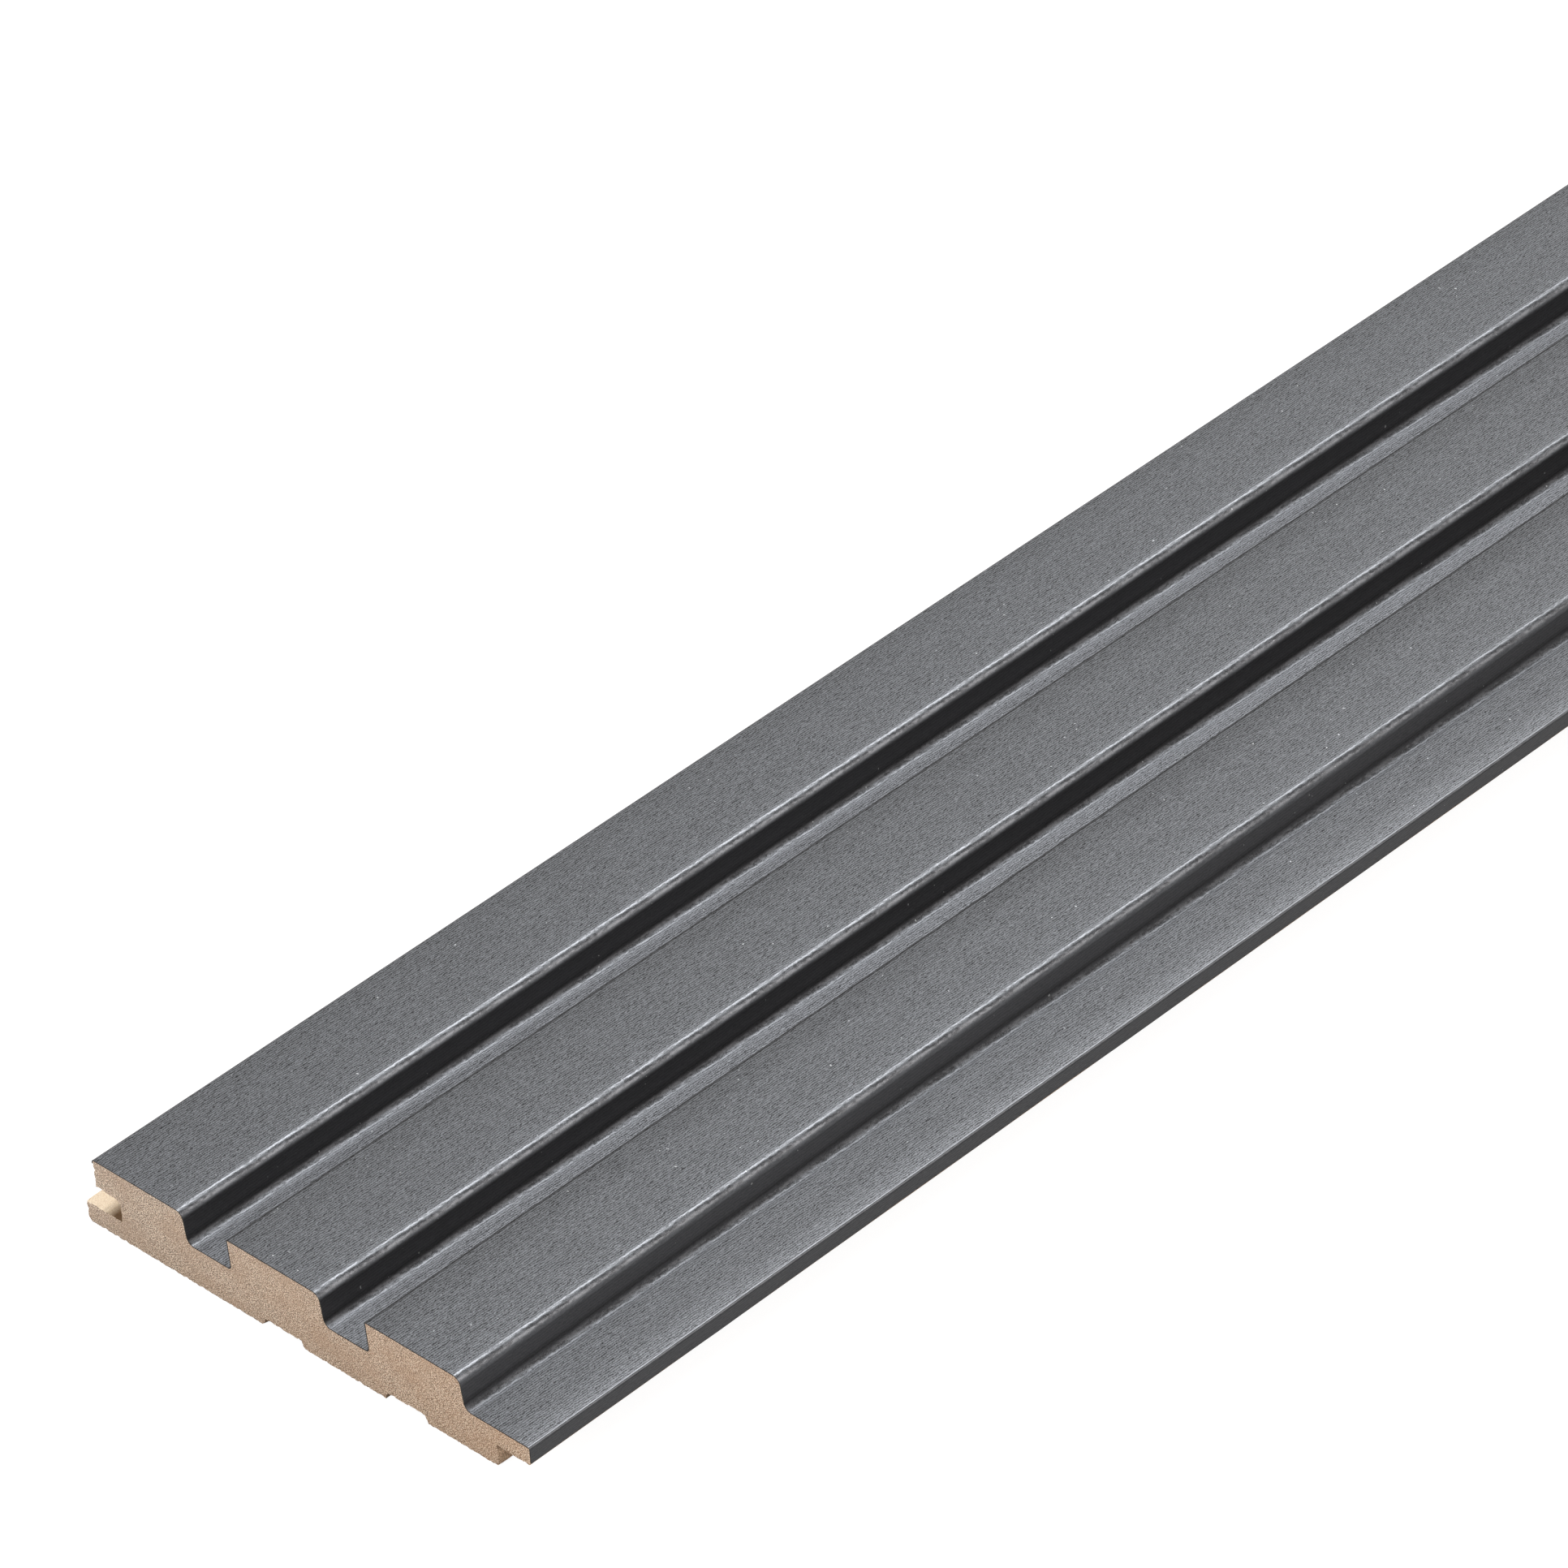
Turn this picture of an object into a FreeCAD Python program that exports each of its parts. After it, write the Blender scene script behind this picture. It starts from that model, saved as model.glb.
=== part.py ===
import FreeCAD, Part
import Sketcher
import math
import os
import re

# Slat wall panel: one length of milled MDF board with a thin decor foil wrapped over its face.
# X runs across the panel from the slotted edge to the tongue, Y along its length, Z up from its back.
# All sizes are in millimetres and all angles in degrees.

os.makedirs("parts", exist_ok=True)
doc = FreeCAD.newDocument("slat_wall_panel")

SLATS = 3
CHANNELS = 2

# Sizes that can be changed one by one
SIZES = [
    ("panel_length", "2700", "length of the stock"),
    ("board_thickness", "16", "board the section is milled from"),
    ("foil_thickness", "0.25", "decor foil with its glue line"),
    ("slat_pitch", "36.8", "from one slat's sharp edge to the next one's"),
    ("slat_flat", "23.05", "flat top of a slat, from its sharp edge to its ogee"),
    ("groove_depth", "6.95", "from the slat tops down to the groove floors"),
    ("ogee_round", "2", "radius of the ogee's convex top"),
    ("ogee_foot", "2.2", "radius of the ogee's concave foot"),
    ("ogee_lean", "7", "lean of the ogee's flank off upright"),
    ("undercut", "3", "lean of the sharp edge's flank under its slat"),
    ("edge_round", "0.35", "radius of the foil over a slat's sharp edge"),
    ("corner_round", "0.8", "radius between a groove floor and the next slat"),
    ("nose_round", "0.8", "radius of the foil over the slotted edge"),
    ("nose_wrap", "4.6", "how far down the slotted edge the foil reaches"),
    ("slot_reach", "6.8", "slot's inner end, from the first slat's edge line"),
    ("slot_round", "1.2", "radius in the upper corner of the slot's inner end"),
    ("lip_reach", "3.1", "lower lip's tip, from the first slat's edge line"),
    ("lip_round", "1.2", "radius of the lower lip's bottom corner"),
    ("tongue_thickness", "4.3", "tongue with its foil"),
    ("tip_round", "0.6", "radius of the foil over the tongue's tip"),
    ("tip_ease", "0.5", "radius of the tongue's bottom corner"),
    ("heel_round", "1", "radius of the body's bottom corner under the tongue"),
    ("channel_width", "11", "mouth of a back channel"),
    ("channel_depth", "1.6", "depth of a back channel"),
    ("channel_draft", "0.7", "how far each wall of a back channel slants in"),
    ("channel_first", "50.25", "middle of the first back channel, from the first slat's edge line"),
    ("channel_pitch", "32.6", "from one back channel to the next"),
]

# Clearances between this panel's tongue and the next one's slot
CLEARANCES = [
    ("joint_play", "0.3", "gap above and below the tongue in the slot"),
    ("tip_gap", "1.4", "gap between the tongue's tip and the slot's inner end"),
    ("lip_gap", "0.2", "gap between the lower lip's tip and the body under the tongue"),
]

# Levels and positions that follow; positions are measured from the lower lip's tip
FOLLOWING = [
    ("face_level", "board_thickness + foil_thickness", "top of the slats"),
    ("groove_level", "face_level - groove_depth", "floor of the grooves and top of the tongue"),
    ("cover_width", "%d * slat_pitch" % SLATS, "width one panel covers on the wall"),
    ("tongue_level", "groove_level - tongue_thickness", "underside of the tongue"),
    ("slot_floor", "tongue_level - joint_play", "floor of the slot"),
    ("slot_roof", "groove_level + joint_play", "roof of the slot"),
    ("slot_end", "lip_reach + slot_reach", "inner end of the slot"),
    ("nose_face", "lip_reach", "foil's face on the slotted edge, in line with the first slat's edge line"),
    ("heel_face", "cover_width - lip_gap", "wall of the rebate under the tongue"),
    ("tip_face", "lip_reach + cover_width + slot_reach - tip_gap", "foil's face on the tongue's tip"),
    ("lean_sin", "sin(ogee_lean * 1 deg)", "sine of the ogee's lean"),
    ("lean_cos", "cos(ogee_lean * 1 deg)", "cosine of the ogee's lean"),
    ("under_sin", "sin(undercut * 1 deg)", "sine of the undercut"),
    ("under_cos", "cos(undercut * 1 deg)", "cosine of the undercut"),
    ("foot_shift", "(ogee_round + ogee_foot + (groove_depth - ogee_round - ogee_foot) * lean_sin) / lean_cos",
     "from the middle of the ogee's top arc to the middle of its foot arc"),
    ("edge_shift", "edge_round * (1 + under_sin) / under_cos",
     "from a slat's edge line to the middle of its edge arc"),
    ("corner_shift", "((groove_depth - corner_round) * under_sin - corner_round) / under_cos",
     "from a slat's edge line to the middle of its corner arc"),
]

sheet = doc.addObject("Spreadsheet::Sheet", "Sizes")
row = 1
for alias, number, meaning in SIZES + CLEARANCES:
    sheet.set("A%d" % row, meaning)
    sheet.set("B%d" % row, number)
    sheet.setAlias("B%d" % row, alias)
    row += 1
for alias, formula, meaning in FOLLOWING:
    sheet.set("A%d" % row, meaning)
    sheet.set("B%d" % row, "=" + formula)
    sheet.setAlias("B%d" % row, alias)
    row += 1
doc.recompute()

ALIASES = [line[0] for line in SIZES + CLEARANCES + FOLLOWING]
ALIAS_WORD = re.compile(r"\b(%s)\b" % "|".join(ALIASES))


def in_sheet(text):
    """Turn a formula on alias names into one that reads the sheet's cells."""
    return ALIAS_WORD.sub(r"Sizes.\1", text)


# An outline is a list of corners (x, z, radius, turn). The radius and turn belong to the arc that leaves
# the corner; both are None where a straight line does. ROUND arcs turn right and HOLLOW arcs turn left.
ROUND = -1
HOLLOW = 1


def corner(across, up, radius=None, turn=None):
    return (across, up, radius, turn)


def face_line(inset):
    """The panel's face from slotted edge to tongue tip, at a depth of inset below the foil's outer face."""
    top = "face_level - %s" % inset
    low = "groove_level - %s" % inset
    line = [
        corner("nose_face + %s" % inset, "face_level - nose_wrap"),
        corner("nose_face + %s" % inset, "face_level - nose_round", "nose_round - %s" % inset, ROUND),
        corner("nose_face + nose_round", top),
    ]
    for slat in range(SLATS):
        edge = "lip_reach + %d * slat_pitch" % slat
        if slat > 0:
            # Corner of the groove floor, undercut flank and sharp edge on the slat's left
            hollow = "(corner_round + %s)" % inset
            sharp = "(edge_round - %s)" % inset
            line += [
                corner(edge + " + corner_shift", low, hollow, HOLLOW),
                corner(edge + " + corner_shift + %s * under_cos" % hollow,
                       "groove_level + corner_round + %s * under_sin" % hollow),
                corner(edge + " + edge_shift - %s * under_cos" % sharp,
                       "face_level - edge_round - %s * under_sin" % sharp, sharp, ROUND),
                corner(edge + " + edge_shift", top),
            ]
        # Ogee on the slat's right: convex top, straight flank, concave foot
        ogee = edge + " + slat_flat"
        convex = "(ogee_round - %s)" % inset
        concave = "(ogee_foot + %s)" % inset
        line += [
            corner(ogee, top, convex, ROUND),
            corner(ogee + " + %s * lean_cos" % convex, "face_level - ogee_round + %s * lean_sin" % convex),
            corner(ogee + " + foot_shift - %s * lean_cos" % concave,
                   "groove_level + ogee_foot - %s * lean_sin" % concave, concave, HOLLOW),
            corner(ogee + " + foot_shift", low),
        ]
    line += [
        corner("tip_face - tip_round", low, "tip_round - %s" % inset, ROUND),
        corner("tip_face - %s" % inset, "groove_level - tip_round"),
        corner("tip_face - %s" % inset, "tongue_level + tip_ease"),
    ]
    return line


def channel_line():
    """The back's channels from right to left, each a shallow groove with slanted walls."""
    line = []
    for channel in reversed(range(CHANNELS)):
        middle = "lip_reach + channel_first + %d * channel_pitch" % channel
        line += [
            corner(middle + " + channel_width / 2", "0"),
            corner(middle + " + channel_width / 2 - channel_draft", "channel_depth"),
            corner(middle + " - channel_width / 2 + channel_draft", "channel_depth"),
            corner(middle + " - channel_width / 2", "0"),
        ]
    return line


def core_outline():
    """The MDF's section, clockwise from the roof of the slot."""
    line = [corner("nose_face + foil_thickness", "slot_roof")]
    line += face_line("foil_thickness")[1:-1]
    line += [
        corner("tip_face - foil_thickness", "tongue_level + tip_ease", "tip_ease", ROUND),
        corner("tip_face - foil_thickness - tip_ease", "tongue_level"),
        corner("heel_face", "tongue_level"),
        corner("heel_face", "heel_round", "heel_round", ROUND),
        corner("heel_face - heel_round", "0"),
    ]
    line += channel_line()
    line += [
        corner("lip_round", "0", "lip_round", ROUND),
        corner("0", "lip_round"),
        corner("0", "slot_floor"),
        corner("slot_end", "slot_floor"),
        corner("slot_end", "slot_roof - slot_round", "slot_round", HOLLOW),
        corner("slot_end - slot_round", "slot_roof"),
    ]
    return line


def foil_outline():
    """The foil's section: out along its outer face and back along the MDF."""
    outer = face_line("0")
    inner = face_line("foil_thickness")
    back = []
    for place in reversed(range(len(inner))):
        across, up = inner[place][:2]
        radius, turn = inner[place - 1][2:] if place > 0 else (None, None)
        back.append(corner(across, up, radius, None if turn is None else -turn))
    return outer + back


def draw(sketch, outline):
    """Draw a closed outline and bind each corner and each radius to the sheet."""
    def number(text):
        return float(sketch.evalExpression(in_sheet(text)))

    spots = [FreeCAD.Vector(number(c[0]), number(c[1]), 0) for c in outline]
    shapes = []
    for place, (across, up, radius, turn) in enumerate(outline):
        start = spots[place]
        end = spots[(place + 1) % len(spots)]
        if radius is None:
            shapes.append(Part.LineSegment(start, end))
            continue
        # Point in the middle of the arc, found from its chord and radius
        chord = end - start
        half = chord.Length / 2
        rise = number(radius) - math.sqrt(max(number(radius) ** 2 - half ** 2, 0.0))
        side = FreeCAD.Vector(chord.y, -chord.x, 0).normalize() * turn
        shapes.append(Part.Arc(start, (start + end) * 0.5 + side * rise, end))
    ids = sketch.addGeometry(shapes, False)

    starts = []
    for place, shape_id in enumerate(ids):
        near = (sketch.getPoint(shape_id, 1) - spots[place]).Length
        far = (sketch.getPoint(shape_id, 2) - spots[place]).Length
        starts.append(1 if near <= far else 2)

    ties = []
    bindings = []
    for place, (across, up, radius, turn) in enumerate(outline):
        shape_id = ids[place]
        before = (place - 1) % len(ids)
        ties.append(Sketcher.Constraint("Coincident", ids[before], 3 - starts[before], shape_id, starts[place]))
        for kind, text, axis, size in (
            ("DistanceX", across, -2, spots[place].x),
            ("DistanceY", up, -1, spots[place].y),
        ):
            if text == "0":
                ties.append(Sketcher.Constraint("PointOnObject", shape_id, starts[place], axis))
            else:
                bindings.append((len(ties), text))
                ties.append(Sketcher.Constraint(kind, -1, 1, shape_id, starts[place], size))
        if radius is not None:
            bindings.append((len(ties), radius))
            ties.append(Sketcher.Constraint("Radius", shape_id, number(radius)))
    sketch.addConstraint(ties)
    for place, text in bindings:
        sketch.setExpression("Constraints[%d]" % place, in_sheet(text))


def length_of_section(name, outline):
    """One piece of the panel: its section padded evenly to both ends, centred across the panel."""
    body = doc.addObject("PartDesign::Body", name)
    body.Label = name
    upright = [plane for plane in body.Origin.OriginFeatures if plane.Role == "XZ_Plane"][0]
    sketch = body.newObject("Sketcher::SketchObject", name + "_section")
    sketch.AttachmentSupport = [(upright, "")]
    sketch.MapMode = "FlatFace"
    doc.recompute()
    draw(sketch, outline)
    doc.recompute()
    pad = body.newObject("PartDesign::Pad", name + "_length")
    pad.Profile = sketch
    pad.Midplane = True
    pad.setExpression("Length", in_sheet("panel_length"))
    body.setExpression(".Placement.Base.x", in_sheet("-tip_face / 2"))
    doc.recompute()
    body.Tip = pad
    doc.recompute()
    return body


core = length_of_section("mdf_core", core_outline())
foil = length_of_section("foil_face", foil_outline())

for item in doc.Objects:
    if "Invalid" in item.State or "Error" in item.State:
        raise RuntimeError("%s did not build: %s" % (item.Name, item.State))
for piece in (core, foil):
    if piece.Shape.isNull() or not piece.Shape.isValid():
        raise RuntimeError("%s has no valid shape" % piece.Label)
    if len(piece.Shape.Solids) != 1:
        raise RuntimeError("%s should be one solid" % piece.Label)
    piece.Shape.exportStep("parts/%s.step" % piece.Label)
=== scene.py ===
import math
import bpy
from mathutils import Matrix, Vector, noise


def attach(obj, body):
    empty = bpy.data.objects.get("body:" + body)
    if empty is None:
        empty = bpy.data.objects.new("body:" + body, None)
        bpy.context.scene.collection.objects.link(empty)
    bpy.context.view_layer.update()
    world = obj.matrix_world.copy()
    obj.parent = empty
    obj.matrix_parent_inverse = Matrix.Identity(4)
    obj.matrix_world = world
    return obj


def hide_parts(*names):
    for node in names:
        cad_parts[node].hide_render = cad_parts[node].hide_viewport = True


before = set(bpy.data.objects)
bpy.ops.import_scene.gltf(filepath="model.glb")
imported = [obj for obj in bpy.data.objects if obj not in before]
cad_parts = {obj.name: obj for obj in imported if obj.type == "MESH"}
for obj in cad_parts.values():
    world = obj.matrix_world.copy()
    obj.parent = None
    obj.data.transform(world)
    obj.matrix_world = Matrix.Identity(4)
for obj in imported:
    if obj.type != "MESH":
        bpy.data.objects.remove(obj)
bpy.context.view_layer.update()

# Sizes of the section in millimetres, as in the part's source but for OGEE_FOOT and FOIL_END

LENGTH = 2700.0
BOARD = 16.0
FOIL = 0.25
PITCH = 36.8
SLATS = 3
FLAT = 23.05
DEPTH = 6.95
OGEE_ROUND = 2.0
OGEE_FOOT = 1.7
LEAN = 7.0
UNDERCUT = 3.0
EDGE_ROUND = 0.35
CORNER_ROUND = 0.8
NOSE_ROUND = 0.8
SLOT_REACH = 6.8
SLOT_ROUND = 1.2
LIP_REACH = 3.1
LIP_ROUND = 1.2
TONGUE = 4.3
TIP_ROUND = 0.6
TIP_EASE = 0.5
HEEL_ROUND = 1.0
CHANNEL_WIDTH = 11.0
CHANNEL_DEPTH = 1.6
CHANNEL_DRAFT = 0.7
CHANNEL_FIRST = 50.25
CHANNEL_PITCH = 32.6
CHANNELS = 2
PLAY = 0.3
FOIL_END = 0.95
TIP_GAP = 1.4
LIP_GAP = 0.2

TOP = BOARD + FOIL
LOW = TOP - DEPTH
TONGUE_Z = LOW - TONGUE
COVER = SLATS * PITCH
TIP = COVER + SLOT_REACH - TIP_GAP
HEEL = COVER - LIP_REACH - LIP_GAP
SHIFT = -(TIP - LIP_REACH) / 2.0
NEAR = -LENGTH / 2.0
MM = 0.001

# The meshes' steps, in millimetres round the section and along the length
BOARD_STEP = 0.35
FOIL_STEP = 8.0
ALONG_STEP = 12.0
END_STATIONS = (0.0, 0.25, 0.8)
SHARP_FROM = math.radians(32)
# How many parts the arcs have
ROUND_PARTS = 8
EASE_PARTS = 6
OGEE_PARTS = 18
# How deep the raw edges are eaten in, at some distances from a sawn end
CRUMBLED = ((0.0, 0.34), (0.35, 0.2), (0.9, 0.08), (2.0, 0.0))
CRUMBLE_BIAS = 0.35
# The coarse and the fine noise of the crumbled edges, in repeats a millimetre
COARSE_PACE = 0.9
FINE_PACE = 2.6
FINE_WEIGHT = 0.6
# How far the foil's edges wander on the tongue's tip and over the slotted edge, and in how many
# repeats a millimetre
TIP_WAVE = 0.16
TIP_PACE = 0.045
TIP_FINE_PACE = 0.13
TIP_FINE_WEIGHT = 0.5
NOSE_WAVE = 0.1
NOSE_PACE = 0.05
# Slack for telling where a point of an outline lies
SLACK = 0.01


def arc(across, up, radius, start, end, parts):
    """Points on an arc about (across, up), with its angles in degrees."""
    spots = []
    for part in range(parts + 1):
        angle = math.radians(start + (end - start) * part / parts)
        spots.append((across + radius * math.cos(angle), up + radius * math.sin(angle)))
    return spots


def face_line(inset):
    """The face from slotted edge to tongue tip, at a depth of inset below the foil's outer face."""
    lean = math.radians(LEAN)
    under = math.radians(UNDERCUT)
    straight = DEPTH - OGEE_ROUND - OGEE_FOOT
    foot_shift = (OGEE_ROUND + OGEE_FOOT + straight * math.sin(lean)) / math.cos(lean)
    edge_shift = EDGE_ROUND * (1 + math.sin(under)) / math.cos(under)
    corner_shift = ((DEPTH - CORNER_ROUND) * math.sin(under) - CORNER_ROUND) / math.cos(under)
    line = [(inset, TOP - FOIL_END)]
    line += arc(NOSE_ROUND, TOP - NOSE_ROUND, NOSE_ROUND - inset, 180, 90, ROUND_PARTS)
    for slat in range(SLATS):
        edge = slat * PITCH
        if slat > 0:
            line += arc(edge + corner_shift, LOW + CORNER_ROUND, CORNER_ROUND + inset,
                        270, 360 + UNDERCUT, ROUND_PARTS)
            line += arc(edge + edge_shift, TOP - EDGE_ROUND, EDGE_ROUND - inset,
                        180 + UNDERCUT, 90, EASE_PARTS)
        line += arc(edge + FLAT, TOP - OGEE_ROUND, OGEE_ROUND - inset, 90, LEAN, OGEE_PARTS)
        line += arc(edge + FLAT + foot_shift, LOW + OGEE_FOOT, OGEE_FOOT + inset,
                    180 + LEAN, 270, OGEE_PARTS)
    line += arc(TIP - TIP_ROUND, LOW - TIP_ROUND, TIP_ROUND - inset, 90, 0, ROUND_PARTS)
    line.append((TIP - inset, TONGUE_Z + TIP_EASE))
    return line


def board_line():
    """The rest of the MDF's section, from the tongue's tip back along the underside to the slot's roof."""
    line = arc(TIP - FOIL - TIP_EASE, TONGUE_Z + TIP_EASE, TIP_EASE, 0, -90, EASE_PARTS)
    line.append((HEEL, TONGUE_Z))
    line += arc(HEEL - HEEL_ROUND, HEEL_ROUND, HEEL_ROUND, 0, -90, ROUND_PARTS)
    half = CHANNEL_WIDTH / 2.0
    for channel in reversed(range(CHANNELS)):
        middle = CHANNEL_FIRST + channel * CHANNEL_PITCH
        line += [(middle + half, 0.0), (middle + half - CHANNEL_DRAFT, CHANNEL_DEPTH),
                 (middle - half + CHANNEL_DRAFT, CHANNEL_DEPTH), (middle - half, 0.0)]
    line += arc(LIP_ROUND - LIP_REACH, LIP_ROUND, LIP_ROUND, 270, 180, ROUND_PARTS)
    floor = TONGUE_Z - PLAY
    roof = LOW + PLAY
    line += [(-LIP_REACH, floor), (SLOT_REACH, floor)]
    line += arc(SLOT_REACH - SLOT_ROUND, roof - SLOT_ROUND, SLOT_ROUND, 0, 90, ROUND_PARTS)
    line.append((FOIL, roof))
    return line


def divide(line, step, closed=True):
    """Adds points so that no stretch of an outline is longer than step."""
    spots = []
    count = len(line) if closed else len(line) - 1
    for place in range(count):
        a = line[place]
        b = line[(place + 1) % len(line)]
        parts = max(1, int(math.ceil(math.dist(a, b) / step)))
        for part in range(parts):
            k = part / parts
            spots.append((a[0] + (b[0] - a[0]) * k, a[1] + (b[1] - a[1]) * k))
    if not closed:
        spots.append(line[-1])
    return spots


def extrude(name, rings):
    """A closed length of a section, from rings of (x, y, z) in millimetres, end to end."""
    size = len(rings[0])
    last = len(rings) - 1
    spots = [(x * MM, y * MM, z * MM) for ring in rings for (x, y, z) in ring]
    faces = []
    for ring in range(last):
        for place in range(size):
            after = (place + 1) % size
            faces.append((ring * size + place, (ring + 1) * size + place,
                          (ring + 1) * size + after, ring * size + after))
    faces.append(tuple(range(size)))
    faces.append(tuple(reversed(range(last * size, len(rings) * size))))
    mesh = bpy.data.meshes.new(name)
    mesh.from_pydata(spots, [], faces)
    mesh.validate()
    mesh.update()
    piece = bpy.data.objects.new(name, mesh)
    bpy.context.scene.collection.objects.link(piece)
    for face in mesh.polygons:
        face.use_smooth = True
    mesh.set_sharp_from_angle(angle=SHARP_FROM)
    return piece


def inward(line, place):
    """Unit vector that points into the solid at one point of a clockwise outline."""
    a = line[place - 1]
    b = line[(place + 1) % len(line)]
    across, up = b[0] - a[0], b[1] - a[1]
    size = math.hypot(across, up) or 1.0
    return up / size, -across / size


def under_foil(x, z):
    """Whether a point of the board's outline lies under the foil."""
    in_slot = x < SLOT_REACH + SLACK and z < LOW + 1
    return z > TONGUE_Z + TIP_EASE and x > FOIL + SLACK and not in_slot


def crumble(line, depth, seed):
    """The outline with its raw edges eaten in by up to depth; the edge under the foil stays."""
    spots = []
    for place, (x, z) in enumerate(line):
        if under_foil(x, z):
            spots.append((x, z))
            continue
        coarse = noise.noise(Vector((x * COARSE_PACE, z * COARSE_PACE, seed)))
        fine = noise.noise(Vector((x * FINE_PACE, z * FINE_PACE, seed + 9.0)))
        bite = depth * max(0.0, CRUMBLE_BIAS + (coarse + FINE_WEIGHT * fine))
        nx, nz = inward(line, place)
        spots.append((x + nx * bite, z + nz * bite))
    return spots


def build_board():
    """The milled MDF, a little crumbly round its sawn ends."""
    line = divide(face_line(FOIL)[1:-1] + board_line(), BOARD_STEP)
    near, far = [], []
    for rings, end, sign in ((near, NEAR, 1.0), (far, -NEAR, -1.0)):
        for away, depth in CRUMBLED:
            ring = crumble(line, depth, 3.0 + sign)
            rings.append([(x + SHIFT, end + sign * away, z) for x, z in ring])
    return extrude("board", near + list(reversed(far)))


def wave(y, pace, seed):
    """Slow noise along the length, with pace in repeats a millimetre."""
    return noise.noise(Vector((y * pace, seed, 0.0)))


def foil_lift(x, y, z):
    """How far a point of the foil rises. Only its edges do, on the tongue's tip and the slotted edge."""
    if x < FOIL + SLACK and z < TOP - FOIL_END + 2 * SLACK:
        return NOSE_WAVE * wave(y, NOSE_PACE, 4.0)
    if abs(x - TIP) < FOIL + 5 * SLACK and z < TONGUE_Z + TIP_EASE + 2 * SLACK:
        return TIP_WAVE * (1 + wave(y, TIP_PACE, 1.0) + TIP_FINE_WEIGHT * wave(y, TIP_FINE_PACE, 7.0))
    return 0.0


def build_foil():
    """The decor foil, with slightly wavy edges on the tongue and just over the slotted edge's corner."""
    outer = divide(face_line(0.0), FOIL_STEP, closed=False)
    inner = divide(face_line(FOIL), FOIL_STEP, closed=False)
    section = outer + list(reversed(inner))
    stations = [NEAR + away for away in END_STATIONS]
    place = NEAR + ALONG_STEP
    while place < -NEAR - ALONG_STEP * 0.5:
        stations.append(place)
        place += ALONG_STEP
    stations += [-NEAR - away for away in reversed(END_STATIONS)]
    rings = [[(x + SHIFT, y, z + foil_lift(x, y, z)) for x, z in section] for y in stations]
    return extrude("foil", rings)


board = build_board()
foil = build_foil()


# Materials

NOTHING = (0.0, 0.0, 0.0)
# The ripples of the foil's grain are about half a millimetre apart and run nearly along the length
GRAIN_TURN = (0.0, 0.0, math.radians(2.0))
GRAIN_PITCH = 0.52 * MM
GRAIN_BEND = 0.3
# Half the width over which the foil's sheen and the board's colour change evenly
FOIL_SIDE = 50.0 * MM
BOARD_SIDE = 55.0 * MM
# The length in view, over which the painted fall of light in the foil's sheen runs
IN_VIEW = 450.0
# Repeats of each noise a metre along each axis
STROKES = (7600.0, 4600.0, 7600.0)
BREAKS = (2700.0, 800.0, 2700.0)
WANDER = (1900.0, 850.0, 1900.0)
PEBBLE = (2100.0, 1100.0, 2100.0)
BROAD = (26.0, 5.0, 26.0)
DUST_GRAINS = (1500.0, 1500.0, 1500.0)
DUSTY_AREAS = (140.0, 140.0, 140.0)
LUMPS = (4200.0, 4200.0, 5000.0)
FIBRES = (1300.0, 1300.0, 4200.0)
FLECKS = (2300.0, 2300.0, 3600.0)
PATCHES = (110.0, 60.0, 150.0)
# How far the ripples wander, in radians, and how much the strokes weigh beside them
WANDER_REACH = 6.0
STROKE_WEIGHT = 3.6
GRAIN_REACH = 1.2

# Places on the foil in millimetres, where something begins and where it is whole: first those across
# the panel, such as where the third groove's floor runs out on to the tongue, then the heights
RUN_OUT = (COVER - 11.5, COVER - 9.0)
TONGUE_TOP = (COVER - 5.0, TIP - 1.0)
RIM = (TIP - 0.9, TIP - 0.5)
HIGH = (TOP - 0.75, TOP - 0.45)
FLOOR_END = (LOW + 0.01, LOW + 0.12)
OFF_FLOOR = (LOW + 0.05, LOW + 0.3)
TOE_END = (LOW + 0.15, LOW + 0.5)
FOOT_START = (LOW + 0.15, LOW + 0.4)
FOOT_END = (LOW + 1.5, LOW + 2.5)
BEND_HEIGHTS = (LOW + 0.6, LOW + 2.5)
# Bands on an ogee: how far past the flat their middle lies, and half their width, whole and faded
BEND = (2.3, 2.4, 3.2)
TOE = (3.75, 0.55, 1.0)

# The sheen that the grain makes, the even one that it is drawn to, and what each place makes of it; most
# places paint light or shade into it, and the falls are painted shade
SHEEN_LEAST = 0.04
SHEEN_OF_GRAIN = 0.64
SHEEN_EVEN = 0.42
CALMED = 0.2
BEND_CALM = 0.35
SIDE_PAINTED_LIGHT = (1.29, 1.19)
FLOOR_PAINTED_LIGHT = 1.48
NEAR_SHEEN = 1.05
RUN_OUT_LESS_PAINTED_LIGHT = 0.68
TONGUE_PAINTED_SHADE = 0.86
FOOT_PAINTED_SHADE = 0.5
TOE_PAINTED_HIGHLIGHT = (0.8, 0.2)
RIM_PAINTED_SHADE = 0.6
CUT_AND_EDGE_SHADE_SHEEN = 0.2
SIDE_FALL = (0.06, 0.36)
FLOOR_FALL = 0.3
RUN_OUT_FALL = 0.8
FOIL_ROUGH = (0.285, 0.315)
BEND_ROUGH = (0.14, 0.06)
TOE_ROUGH = 0.06
FOIL_IOR = 1.8
FOIL_TINT = (0.885, 0.925, 1.0, 1.0)
# A bump's distance in metres, and its strength
FOIL_BUMP = (0.00003, 0.16)
BOARD_BUMP = (0.0004, 0.5)

FOIL_DARK = (0.010, 0.0094, 0.0094)
FOIL_PALE = (0.026, 0.025, 0.025)
FOIL_PATCH = (0.021, 0.020, 0.021)
FOIL_CUT = (0.012, 0.010, 0.009)
DUST = (0.40, 0.41, 0.41)
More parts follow.
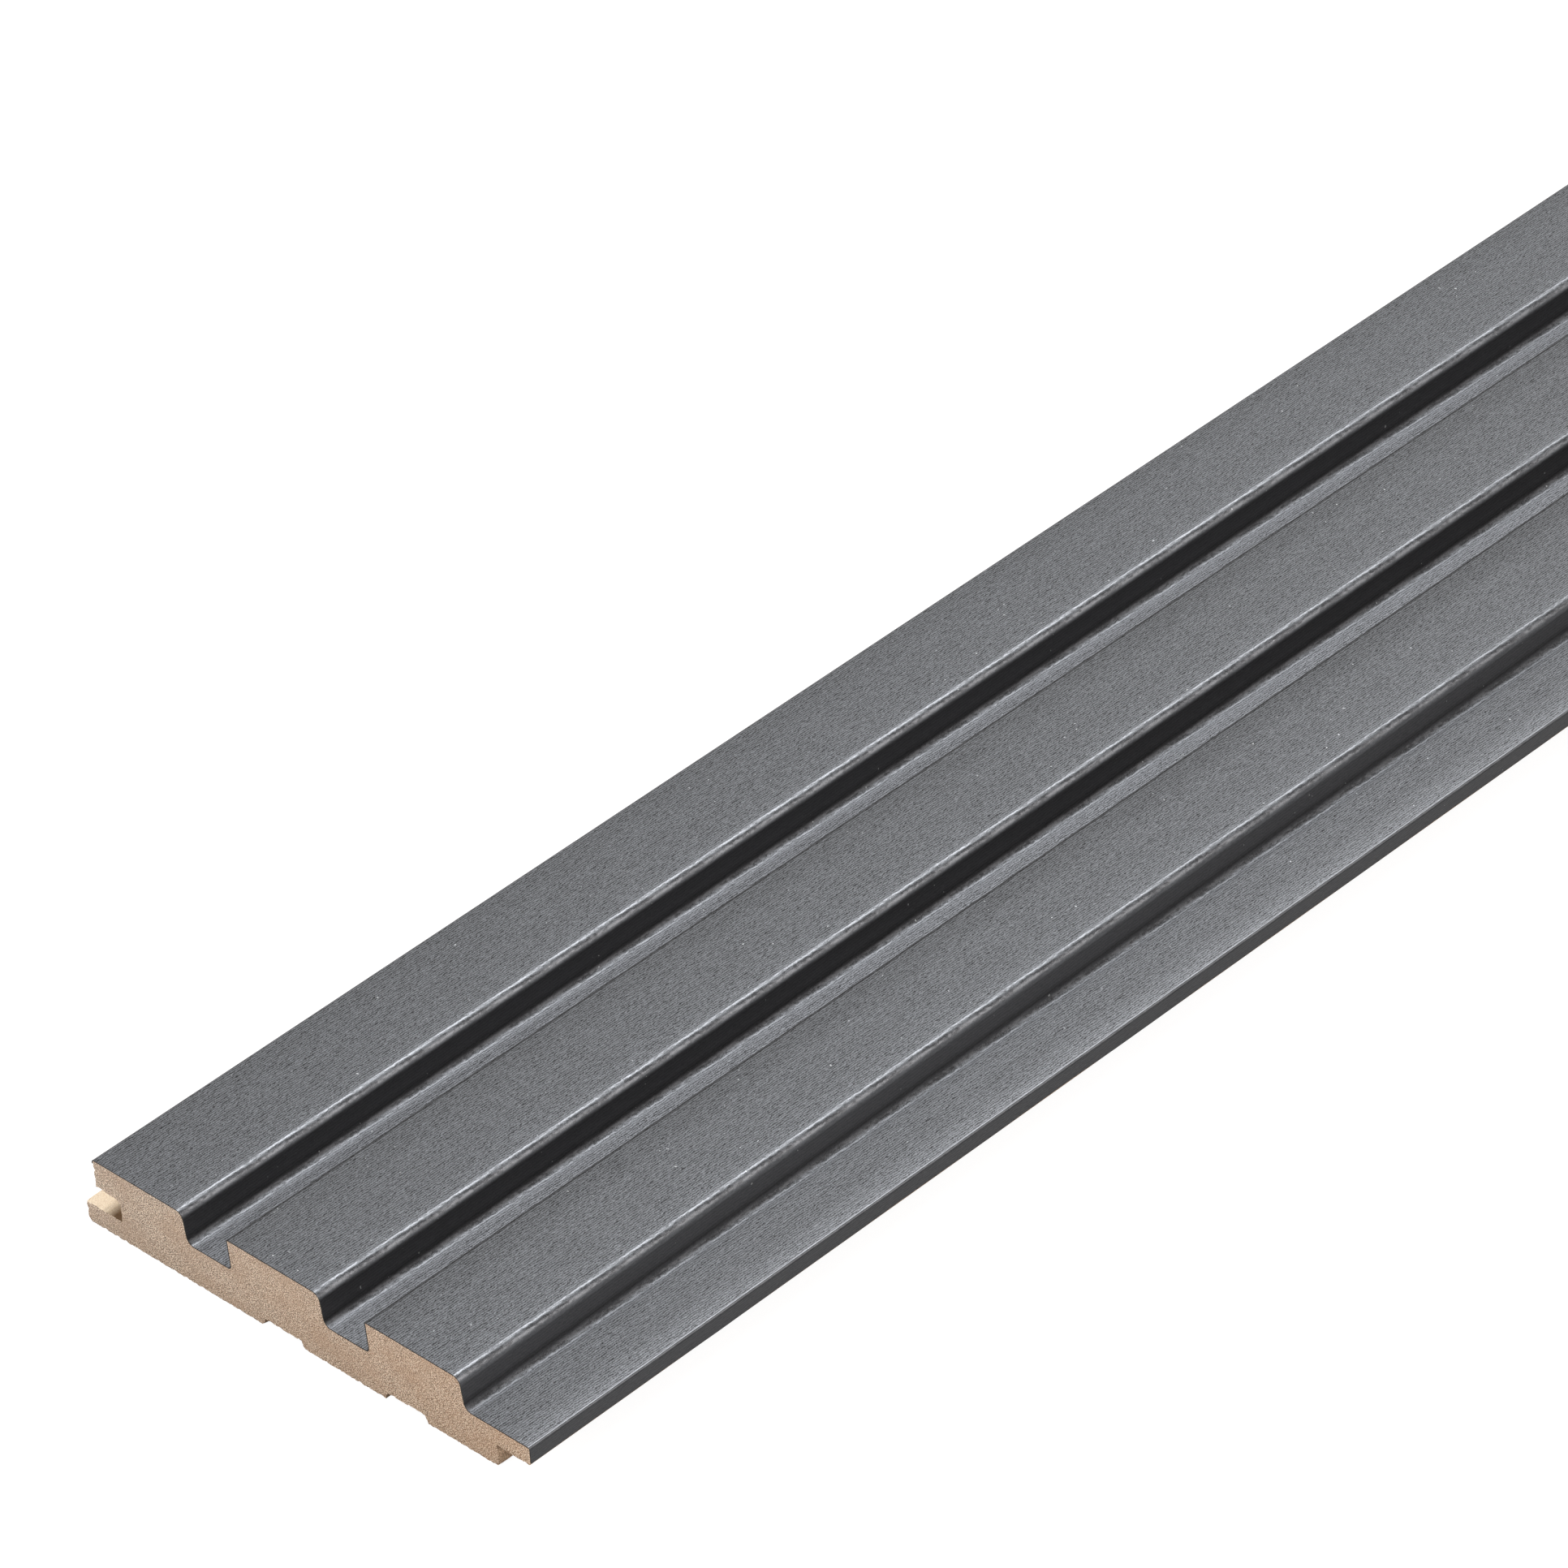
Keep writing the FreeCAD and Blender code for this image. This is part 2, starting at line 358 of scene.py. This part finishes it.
# The strip along a slat's sharp edge: how far in its middle lies, and its colour, half width and weight. At
# the first slat it is the board showing brown, at the others a line of painted shade
FIRST_STRIP = (0.12, (0.085, 0.058, 0.043))
EDGE_SHADE_STRIP = (0.45, (0.016, 0.015, 0.015))
STRIP_HALF = (0.2, 0.4)
STRIP_WEIGHT = 0.85

# Places on the board in millimetres, in the same way
SLOT_INNER = (3.0, 5.2)
PAST_SLOT = (10.0, 11.0)
BACK_END = (0.4, 1.2)
HEEL_START = (HEEL - 1.2, HEEL - 0.8)
CORNER_HEIGHTS = (TONGUE_Z - 1.5, TONGUE_Z - 0.2)
CORNER_START = (HEEL - 1.0, HEEL - 0.2)
CORNER_FADE = (HEEL + 2.0, HEEL + 5.0)
CORNER_WEIGHT = (0.8, 0.2)
SIDE_WEIGHT = 0.26
BOARD_ROUGH = 0.85
BOARD_SHEEN = 0.25

SAWN = [(0.43, (0.06, 0.035, 0.02)), (0.5, (0.395, 0.283, 0.203)), (0.57, (1.0, 0.81, 0.63))]
FIBRE = (0.72, 0.57, 0.43)
FLECK = (0.34, 0.185, 0.105)
PATCH = (0.42, 0.262, 0.165)
GREYER = (0.34, 0.30, 0.26)
BROWNER = (0.36, 0.215, 0.12)
MILLED = [(0.3, (0.70, 0.54, 0.38)), (0.6, (0.86, 0.73, 0.56))]
PLAIN = [(0.38, (0.20, 0.125, 0.075)), (0.62, (0.52, 0.37, 0.245))]
PLAIN_HEEL = [(0.38, (0.40, 0.26, 0.165)), (0.62, (0.90, 0.66, 0.46))]
SLOT_SHADE_DARK = (0.10, 0.052, 0.024)
SLOT_SHADE_PALE = (0.34, 0.215, 0.12)
CORNER_SHADE = (0.10, 0.045, 0.022)


class Tree:
    """Short names for building the node tree of a material or a world."""

    def __init__(self, owner):
        owner.use_nodes = True
        self.tree = owner.node_tree
        self.tree.nodes.clear()

    def add(self, kind, **values):
        node = self.tree.nodes.new(kind)
        for key, value in values.items():
            setattr(node, key, value)
        return node

    def link(self, a, b):
        self.tree.links.new(a, b)

    def maths(self, kind, a, b=None):
        node = self.add("ShaderNodeMath", operation=kind)
        for place, item in enumerate((a, b)):
            if item is None:
                continue
            if isinstance(item, (int, float)):
                node.inputs[place].default_value = item
            else:
                self.link(item, node.inputs[place])
        return node.outputs[0]

    def fold(self, kind, items):
        """One operation on all the items, from the first to the last."""
        result = items[0]
        for item in items[1:]:
            result = self.maths(kind, result, item)
        return result

    def plus(self, *items):
        return self.fold("ADD", items)

    def minus(self, a, b):
        return self.maths("SUBTRACT", a, b)

    def times(self, *items):
        return self.fold("MULTIPLY", items)

    def most(self, *items):
        return self.fold("MAXIMUM", items)

    def shade(self, kind, **values):
        """The shader of a new node with the given inputs."""
        node = self.add(kind)
        for key, value in values.items():
            node.inputs[key].default_value = value
        return node.outputs[0]

    def put_out(self, kind, factor, a, b):
        """Puts out shader a where factor is 0, and b where it is 1."""
        pick = self.add("ShaderNodeMixShader")
        for place, item in enumerate((factor, a, b)):
            self.link(item, pick.inputs[place])
        self.link(pick.outputs[0], self.add(kind).inputs["Surface"])


class Finish(Tree):
    """A material of one shader whose inputs are worked out from the place on the panel."""

    def __init__(self, name):
        self.material = bpy.data.materials.new(name)
        super().__init__(self.material)
        out = self.add("ShaderNodeOutputMaterial")
        self.shader = self.add("ShaderNodeBsdfPrincipled")
        self.link(self.shader.outputs[0], out.inputs["Surface"])
        self.place = self.add("ShaderNodeTexCoord").outputs["Object"]
        self.across, self.along, self.up = self.axes(self.place)

    def axes(self, vector):
        node = self.add("ShaderNodeSeparateXYZ")
        self.link(vector, node.inputs[0])
        return node.outputs

    def facing(self):
        """How much the surface faces along each axis."""
        return self.axes(self.add("ShaderNodeNewGeometry").outputs["True Normal"])

    def stretch(self, scale, turn=NOTHING, shift=NOTHING):
        """The object's coordinates, turned and then times scale, in repeats a metre along each axis."""
        first = self.add("ShaderNodeMapping")
        first.inputs["Rotation"].default_value = turn
        self.link(self.place, first.inputs["Vector"])
        node = self.add("ShaderNodeMapping")
        node.inputs["Scale"].default_value = scale
        node.inputs["Location"].default_value = shift
        self.link(first.outputs[0], node.inputs["Vector"])
        return node.outputs[0]

    def noise(self, scale, detail=0.0, rough=0.5, turn=NOTHING, distortion=0.0, shift=NOTHING):
        node = self.add("ShaderNodeTexNoise")
        node.inputs["Scale"].default_value = 1.0
        node.inputs["Detail"].default_value = detail
        node.inputs["Roughness"].default_value = rough
        node.inputs["Distortion"].default_value = distortion
        self.link(self.stretch(scale, turn, shift), node.inputs["Vector"])
        return node.outputs["Fac"]

    def ramp(self, value, stops):
        node = self.add("ShaderNodeValToRGB")
        marks = node.color_ramp.elements
        while len(marks) < len(stops):
            marks.new(0.5)
        for mark, (spot, colour) in zip(marks, stops):
            mark.position = spot
            mark.color = (*colour, 1.0)
        self.link(value, node.inputs[0])
        return node.outputs[0]

    def range(self, value, low, high, to_low=0.0, to_high=1.0):
        """to_low where value is low or less, to_high where it is high or more, and even in between."""
        node = self.add("ShaderNodeMapRange")
        for key, number in (("From Min", low), ("From Max", high), ("To Min", to_low), ("To Max", to_high)):
            node.inputs[key].default_value = number
        self.link(value, node.inputs["Value"])
        return node.outputs[0]

    def by_height(self, low, high, to_low=0.0, to_high=1.0):
        """A range over heights in millimetres."""
        return self.range(self.up, low * MM, high * MM, to_low, to_high)

    def by_side(self, low, high, to_low=0.0, to_high=1.0):
        """A range over places across the panel, in millimetres from its slotted edge."""
        return self.range(self.across, (low + SHIFT) * MM, (high + SHIFT) * MM, to_low, to_high)

    def around(self, middle, inner, outer):
        """1 within inner millimetres of a line along the panel, and 0 from outer on."""
        away = self.maths("ABSOLUTE", self.minus(self.across, (middle + SHIFT) * MM))
        return self.range(away, inner * MM, outer * MM, 1.0, 0.0)

    def past_flats(self, offset, inner, outer):
        """The same for a line that lies offset past the end of every slat's flat."""
        middles = [slat * PITCH + FLAT + offset for slat in range(SLATS)]
        return self.most(*[self.around(middle, inner, outer) for middle in middles])

    def mix(self, factor, a, b):
        node = self.add("ShaderNodeMix", data_type="RGBA")
        for place, item in ((0, factor), (6, a), (7, b)):
            if isinstance(item, (int, float)):
                node.inputs[place].default_value = item
            elif isinstance(item, tuple):
                node.inputs[place].default_value = (*item, 1.0)
            else:
                self.link(item, node.inputs[place])
        return node.outputs[2]

    def bump(self, height, distance, strength):
        node = self.add("ShaderNodeBump")
        node.inputs["Distance"].default_value = distance
        node.inputs["Strength"].default_value = strength
        self.link(height, node.inputs["Height"])
        self.link(node.outputs[0], self.shader.inputs["Normal"])


def foil_grain(n, strokes):
    """Fine pressed ripples that wander, fork and break off, with the short strokes between them."""
    breaks = n.noise(BREAKS, turn=GRAIN_TURN, distortion=GRAIN_BEND, shift=(31.0, 8.0, 4.0))
    wander = n.noise(WANDER, turn=GRAIN_TURN, distortion=GRAIN_BEND)
    turned = n.axes(n.stretch((1.0, 1.0, 1.0), GRAIN_TURN))
    phase = n.times(n.plus(turned[0], turned[2]), 2 * math.pi / GRAIN_PITCH)
    ripple = n.maths("SINE", n.plus(phase, n.times(wander, WANDER_REACH)))
    ripple = n.times(ripple, n.range(breaks, 0.34, 0.62, 0.55, 1.05))
    speckle = n.times(n.minus(strokes, 0.5), STROKE_WEIGHT)
    return n.range(n.plus(ripple, speckle), -GRAIN_REACH, GRAIN_REACH)


def foil_tone(n, grain, edges, cut):
    """The foil's colour: nearly black, with a little dust, painted shade along the later slats' edges, and
    brown where the board shows at the first.
    """
    tone = n.mix(grain, FOIL_DARK, FOIL_PALE)
    broad = n.noise(BROAD, 2.0)
    tone = n.mix(n.range(broad, 0.35, 0.65, 0.0, 0.25), tone, FOIL_PATCH)
    dust = n.noise(DUST_GRAINS)
    where = n.noise(DUSTY_AREAS, 1.0)
    tone = n.mix(n.times(n.range(dust, 0.845, 0.875), n.range(where, 0.5, 0.6)), tone, DUST)
    # It is darkened by painted shade along the sharp edges of the second and third slats, and brown where
    # the board shows at the first
    for edge, colour in edges:
        tone = n.mix(n.times(edge, STRIP_WEIGHT), tone, colour)
    return n.mix(cut, tone, FOIL_CUT)


def painted_shade_fall(n, far):
    """Painted shade: how much the sheen falls towards the tongue and the far end, standing in for the light
    falling off there. Most floors change less.
    """
    fall = n.times(far, n.range(n.across, -FOIL_SIDE, FOIL_SIDE, *SIDE_FALL))
    floors = n.by_height(*OFF_FLOOR, FLOOR_FALL, 1.0)
    return n.times(fall, n.most(floors, n.by_side(*RUN_OUT, 0.0, RUN_OUT_FALL)))


def foil_material():
    """Dark satin foil with a fine grain of short strokes along the length and a little pale dust."""
    n = Finish("foil")
    strokes = n.noise(STROKES, turn=GRAIN_TURN, distortion=GRAIN_BEND)
    grain = foil_grain(n, strokes)

    # Where it is cut, upright, at the tongue's rim, at a sharp edge, on an ogee, and in the toe of an ogee
    facing = n.facing()
    cut = n.range(n.maths("ABSOLUTE", facing[1]), 0.6, 0.8)
    upright = n.range(n.maths("ABSOLUTE", facing[0]), 0.5, 0.9)
    rim = n.by_side(*RIM)
    high = n.by_height(*HIGH)
    edges = []
    for slat in range(SLATS):
        offset, colour = EDGE_SHADE_STRIP if slat else FIRST_STRIP
        edges.append((n.times(n.around(slat * PITCH + offset, *STRIP_HALF), high), colour))
    sharp = n.most(*[edge for edge, colour in edges])
    bend = n.past_flats(*BEND)
    toe = n.times(n.past_flats(*TOE), n.by_height(*TOE_END, 1.0, 0.0))
    foot = n.times(n.by_height(*FOOT_START), n.by_height(*FOOT_END, 1.0, 0.0))
    far = n.range(n.along, NEAR * MM, (NEAR + IN_VIEW) * MM)

    n.link(foil_tone(n, grain, edges, cut), n.shader.inputs["Base Color"])

    # The grain is flatter where the foil bends over an ogee, on upright faces and at the tongue's rim
    calm = n.most(n.times(bend, BEND_CALM), n.most(upright, rim))
    sheen = n.plus(n.times(grain, SHEEN_OF_GRAIN), SHEEN_LEAST)
    uneven = n.times(n.minus(sheen, SHEEN_EVEN), n.range(calm, 0.0, 1.0, 1.0, CALMED))
    # Light and shade painted into the sheen: a painted gradient across the panel, painted light on the
    # floors, painted shade towards the far end, the tongue and its tip, in the feet and on the tip's
    # upright face, and a painted highlight along each toe; duller at the real cut, and painted shade along
    # the sharp edges
    sheen = n.times(
        n.plus(uneven, SHEEN_EVEN),
        # painted light: a gradient across the panel, stronger towards the slotted edge
        n.range(n.across, -FOIL_SIDE, FOIL_SIDE, *SIDE_PAINTED_LIGHT),
        # painted light on the floors, which the slats shade
        n.by_height(*FLOOR_END, FLOOR_PAINTED_LIGHT, 1.0),
        # painted shade falling towards the far end and the tongue
        n.minus(NEAR_SHEEN, painted_shade_fall(n, far)),
        # the floors' painted light is taken back on the tongue, which no slat shades
        n.by_side(*RUN_OUT, 1.0, RUN_OUT_LESS_PAINTED_LIGHT),
        # painted shade towards the tongue's tip
        n.by_side(*TONGUE_TOP, 1.0, TONGUE_PAINTED_SHADE),
        # painted shade in each ogee's foot
        n.range(n.times(foot, bend), 0.0, 1.0, 1.0, FOOT_PAINTED_SHADE),
        # a painted highlight along each toe, fading along the length
        n.plus(n.times(toe, n.range(far, 0.0, 1.0, *TOE_PAINTED_HIGHLIGHT)), 1.0),
        # painted shade on the upright face of the tongue's tip
        n.range(n.times(upright, rim), 0.0, 1.0, 1.0, RIM_PAINTED_SHADE),
        # duller at the real cut, and painted shade along the sharp edges of the later slats
        n.range(n.most(n.times(sharp, STRIP_WEIGHT), cut), 0.0, 1.0, 1.0, CUT_AND_EDGE_SHADE_SHEEN),
    )
    n.link(sheen, n.shader.inputs["Specular IOR Level"])

    pebble = n.noise(PEBBLE, 1.0, turn=GRAIN_TURN, distortion=0.2)
    rough = n.plus(
        n.range(pebble, 0.3, 0.7, *FOIL_ROUGH),
        n.times(bend, n.by_height(*BEND_HEIGHTS, *BEND_ROUGH)),
        n.times(toe, TOE_ROUGH),
    )
    n.link(rough, n.shader.inputs["Roughness"])
    n.bump(strokes, *FOIL_BUMP)
    n.shader.inputs["IOR"].default_value = FOIL_IOR
    n.shader.inputs["Specular Tint"].default_value = FOIL_TINT
    return n.material


def sawn_tone(n, lumps, fibres, patches):
    """Tan with a fine dark and pale speckle, greyer to the left and browner to the right."""
    flecks = n.noise(FLECKS, 1.0, 0.5, (0.0, 0.45, 0.0), 0.4, (17.0, 3.0, 5.0))
    tone = n.ramp(lumps, SAWN)
    tone = n.mix(n.range(fibres, 0.56, 0.68, 0.0, 0.6), tone, FIBRE)
    tone = n.mix(n.range(flecks, 0.54, 0.68, 0.0, 0.7), tone, FLECK)
    tone = n.mix(n.range(patches, 0.42, 0.66, 0.0, 0.42), tone, PATCH)
    to_right = n.range(n.across, -BOARD_SIDE, BOARD_SIDE)
    return n.mix(to_right, n.mix(SIDE_WEIGHT, tone, GREYER), n.mix(SIDE_WEIGHT, tone, BROWNER))


def milled_tone(n, lumps, patches):
    """Pale in the slot's mouth, with painted shade in brown at its inner end under the upper lip, and plain
    brown on the rebate and the back.
    """
    tone = n.ramp(lumps, MILLED)
    wander = n.times(n.minus(patches, 0.5), 0.006)
    # Painted shade: the slot's inner end, under the upper lip, is browned and darkened
    inner = n.range(n.plus(n.across, wander), *[(place + SHIFT) * MM for place in SLOT_INNER])
    tone = n.mix(inner, tone, n.mix(lumps, SLOT_SHADE_DARK, SLOT_SHADE_PALE))
    back = n.most(n.by_side(*PAST_SLOT), n.by_height(*BACK_END, 1.0, 0.0))
    plain = n.mix(n.by_side(*HEEL_START), n.ramp(lumps, PLAIN), n.ramp(lumps, PLAIN_HEEL))
    tone = n.mix(back, tone, plain)
    # Painted shade: darker in the corner between the heel and the tongue
    corner = n.times(n.by_height(*CORNER_HEIGHTS), n.by_side(*CORNER_START),
                     n.by_side(*CORNER_FADE, *CORNER_WEIGHT))
    return n.mix(corner, tone, CORNER_SHADE)


def mdf_material():
    """Raw fibreboard: tan and fibrous on the sawn ends, paler and smoother where the cutter milled it."""
    n = Finish("mdf")
    lumps = n.noise(LUMPS, 1.0, 0.6, (0.0, 0.5, 0.0), 0.5)
    fibres = n.noise(FIBRES, 2.0, 0.6, (0.0, 0.6, 0.0), 0.6)
    patches = n.noise(PATCHES, 2.5, 0.6)
    # Sawn ends face along Y and the milled faces don't
    on_end = n.range(n.maths("ABSOLUTE", n.facing()[1]), 0.4, 0.8)
    tone = n.mix(on_end, milled_tone(n, lumps, patches), sawn_tone(n, lumps, fibres, patches))
    n.link(tone, n.shader.inputs["Base Color"])
    n.shader.inputs["Roughness"].default_value = BOARD_ROUGH
    n.shader.inputs["Specular IOR Level"].default_value = BOARD_SHEEN
    n.bump(n.plus(lumps, n.times(fibres, 0.7)), *BOARD_BUMP)
    return n.material


board.data.materials.append(mdf_material())
foil.data.materials.append(foil_material())

for piece, node, finish in ((board, "mdf_core", "mdf"), (foil, "foil_face", "foil")):
    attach(piece, "root")
    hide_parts(node)


# Floor, world and lamps

FLOOR_HALF = 30.0
FLOOR_AS_LIGHT = 0.8
FLOOR_SHADED = 0.2
FLOOR_GLOW = 0.93
AMBIENT = 0.2
# How much of the camera's line of sight runs across the panel and how much along it
SIGHT_ACROSS = 0.836
SIGHT_ALONG = 0.549
STRIP_AIM = (0.0, -1.4, 0.0)
STRIP_AWAY = 3.0


def grey(level):
    return (level, level, level, 1.0)


def build_floor():
    """A plain white floor that shows the panel's soft shadow."""
    half = FLOOR_HALF
    mesh = bpy.data.meshes.new("floor")
    corners = [(-half, -half, 0), (half, -half, 0), (half, half, 0), (-half, half, 0)]
    mesh.from_pydata(corners, [], [(0, 1, 2, 3)])
    floor = bpy.data.objects.new("floor", mesh)
    bpy.context.scene.collection.objects.link(floor)
    material = bpy.data.materials.new("floor")
    n = Tree(material)
    lit = n.shade("ShaderNodeBsdfDiffuse", Color=grey(FLOOR_AS_LIGHT))
    both = n.add("ShaderNodeAddShader")
    n.link(n.shade("ShaderNodeBsdfDiffuse", Color=grey(FLOOR_SHADED)), both.inputs[0])
    n.link(n.shade("ShaderNodeEmission", Strength=FLOOR_GLOW), both.inputs[1])
    ray = n.add("ShaderNodeLightPath").outputs
    n.put_out("ShaderNodeOutputMaterial", ray["Is Camera Ray"], lit, both.outputs[0])
    mesh.materials.append(material)


def build_world():
    """White to the eye and in reflections, and a softer grey as light."""
    world = bpy.data.worlds.new("studio")
    bpy.context.scene.world = world
    n = Tree(world)
    soft = n.shade("ShaderNodeBackground", Color=grey(1.0), Strength=AMBIENT)
    white = n.shade("ShaderNodeBackground", Color=grey(1.0))
    ray = n.add("ShaderNodeLightPath").outputs
    seen = n.most(ray["Is Camera Ray"], ray["Is Glossy Ray"], ray["Is Transmission Ray"])
    n.put_out("ShaderNodeOutputWorld", seen, soft, white)


def area_lamp(name, width, height, watts, tint=(1.0, 1.0, 1.0)):
    """A new area lamp, not yet placed."""
    data = bpy.data.lights.new(name, "AREA")
    data.shape = "RECTANGLE"
    data.size = width
    data.size_y = height
    data.energy = watts
    data.color = tint
    lamp = bpy.data.objects.new(name, data)
    bpy.context.scene.collection.objects.link(lamp)
    return lamp


def softbox(name, azimuth, elevation, distance, side, watts, aim):
    """A square softbox. Azimuth 0 is beyond the panel along +Y, and 90 is on its right along +X."""
    turn = math.radians(azimuth)
    rise = math.radians(elevation)
    away = Vector((math.sin(turn) * math.cos(rise), math.cos(turn) * math.cos(rise), math.sin(rise)))
    lamp = area_lamp(name, side, side, watts)
    lamp.location = Vector(aim) + away * distance
    lamp.rotation_euler = (-away).to_track_quat("-Z", "Y").to_euler()


def strip(name, turn, across, along, watts, tint):
    """A softbox mirrored in the faces that are turned half way between it and the camera.

    turn is its own angle across the panel, where 0 is straight above and 90 is on the right along +X.
    """
    side = math.radians(turn)
    away = Vector((SIGHT_ACROSS * math.sin(side), SIGHT_ALONG, SIGHT_ACROSS * math.cos(side)))
    away.normalize()
    first = Vector((math.cos(side), 0.0, -math.sin(side)))
    facing = Matrix((first, away.cross(first), away)).transposed().to_4x4()
    lamp = area_lamp(name, across, along, watts, tint)
    lamp.matrix_world = Matrix.Translation(Vector(STRIP_AIM) + away * STRIP_AWAY) @ facing


build_floor()
build_world()
softbox("left", -95.0, 48.0, 3.0, 1.6, 16.0, (0.0, -1.0, 0.0))
softbox("front", 183.0, 26.0, 2.2, 1.0, 31.0, (0.0, -1.35, 0.0))
strip("first_line", -18.0, 1.0, 1.4, 60.0, (1.0, 1.0, 1.0))
strip("second_line", 47.0, 1.3, 1.3, 25.0, (1.0, 0.93, 0.88))

# Camera, found from the photograph's lines and the cut end's corners

CAMERA_LENS = 210.772
CAMERA_SENSOR = 36.0
CAMERA_CLIP = (0.05, 200.0)
CAMERA_RIGHT = Vector((0.717795, 0.693479, -0.062097))
CAMERA_DOWN = Vector((0.378458, -0.463473, -0.801226))
# In millimetres from the slotted edge's face, from the near end and from the back
CAMERA_SPOT = (1066.3, -821.95, 1082.58)

camera_data = bpy.data.cameras.new("camera")
camera_data.sensor_width = CAMERA_SENSOR
camera_data.lens = CAMERA_LENS
camera_data.clip_start, camera_data.clip_end = CAMERA_CLIP
camera = bpy.data.objects.new("camera", camera_data)
ahead = CAMERA_RIGHT.cross(CAMERA_DOWN).normalized()
turn = Matrix((CAMERA_RIGHT, -CAMERA_DOWN, -ahead)).transposed()
spot = Vector((CAMERA_SPOT[0] + SHIFT, CAMERA_SPOT[1] + NEAR, CAMERA_SPOT[2])) * MM
camera.matrix_world = Matrix.Translation(spot) @ turn.to_4x4()
bpy.context.scene.collection.objects.link(camera)
bpy.context.scene.camera = camera

bpy.context.scene.view_settings.view_transform = "Standard"
